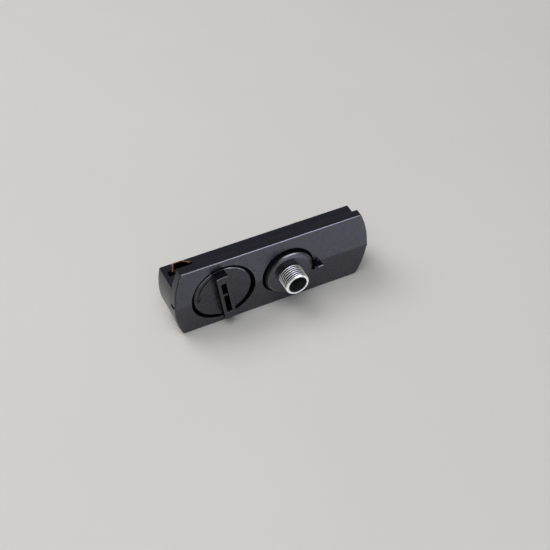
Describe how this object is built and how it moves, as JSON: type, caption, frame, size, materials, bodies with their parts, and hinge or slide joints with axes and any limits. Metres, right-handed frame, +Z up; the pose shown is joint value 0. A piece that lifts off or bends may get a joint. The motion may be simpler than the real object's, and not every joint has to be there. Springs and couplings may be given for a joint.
{
  "type": "track light adapter",
  "caption": "Plug-in adapter for a single-circuit lighting track: ridged black cover, rotary lock dial with a grip, hollow threaded lamp nipple with a ring collar, and sprung copper contacts.",
  "frame": {"origin": "centre of the seat plane, where the cover's rear rim bears on the track", "axes": "+X along the track, +Y into the track, -Y out of the face along the nipple, +Z up across the face as on a wall-run track"},
  "size_m": [0.085, 0.0249, 0.0334],
  "materials": {
    "black_plastic": "fine matte moulded texture",
    "zinc_steel": "bright zinc plating",
    "copper": "rolled copper alloy",
    "brass": "plain machined",
    "pale_plastic": "natural moulded"
  },
  "bodies": {
    "housing": {"cover": "black_plastic", "track_body": "black_plastic", "collar": "black_plastic", "nipple": "zinc_steel", "earth_tag": "brass", "toothed_washer": "zinc_steel", "nipple_nut": "brass", "live_contact": "copper", "neutral_contact": "copper", "earth_contact": "copper", "live_terminal": "brass", "neutral_terminal": "brass", "earth_terminal": "brass", "terminal_screws": "zinc_steel", "insulating_plate": "pale_plastic", "body_screws": "zinc_steel"},
    "lock_rotor": {"dial": "black_plastic", "lock_wing": "zinc_steel", "wing_washer": "zinc_steel", "wing_screw": "zinc_steel"}
  },
  "joints": [
    {"name": "dial_turn", "type": "hinge", "parent": "housing", "child": "lock_rotor", "pos_m": [-0.0217, 0, 0], "axis": [0, -1, 0], "range_deg": [-9, 81]}
  ]
}
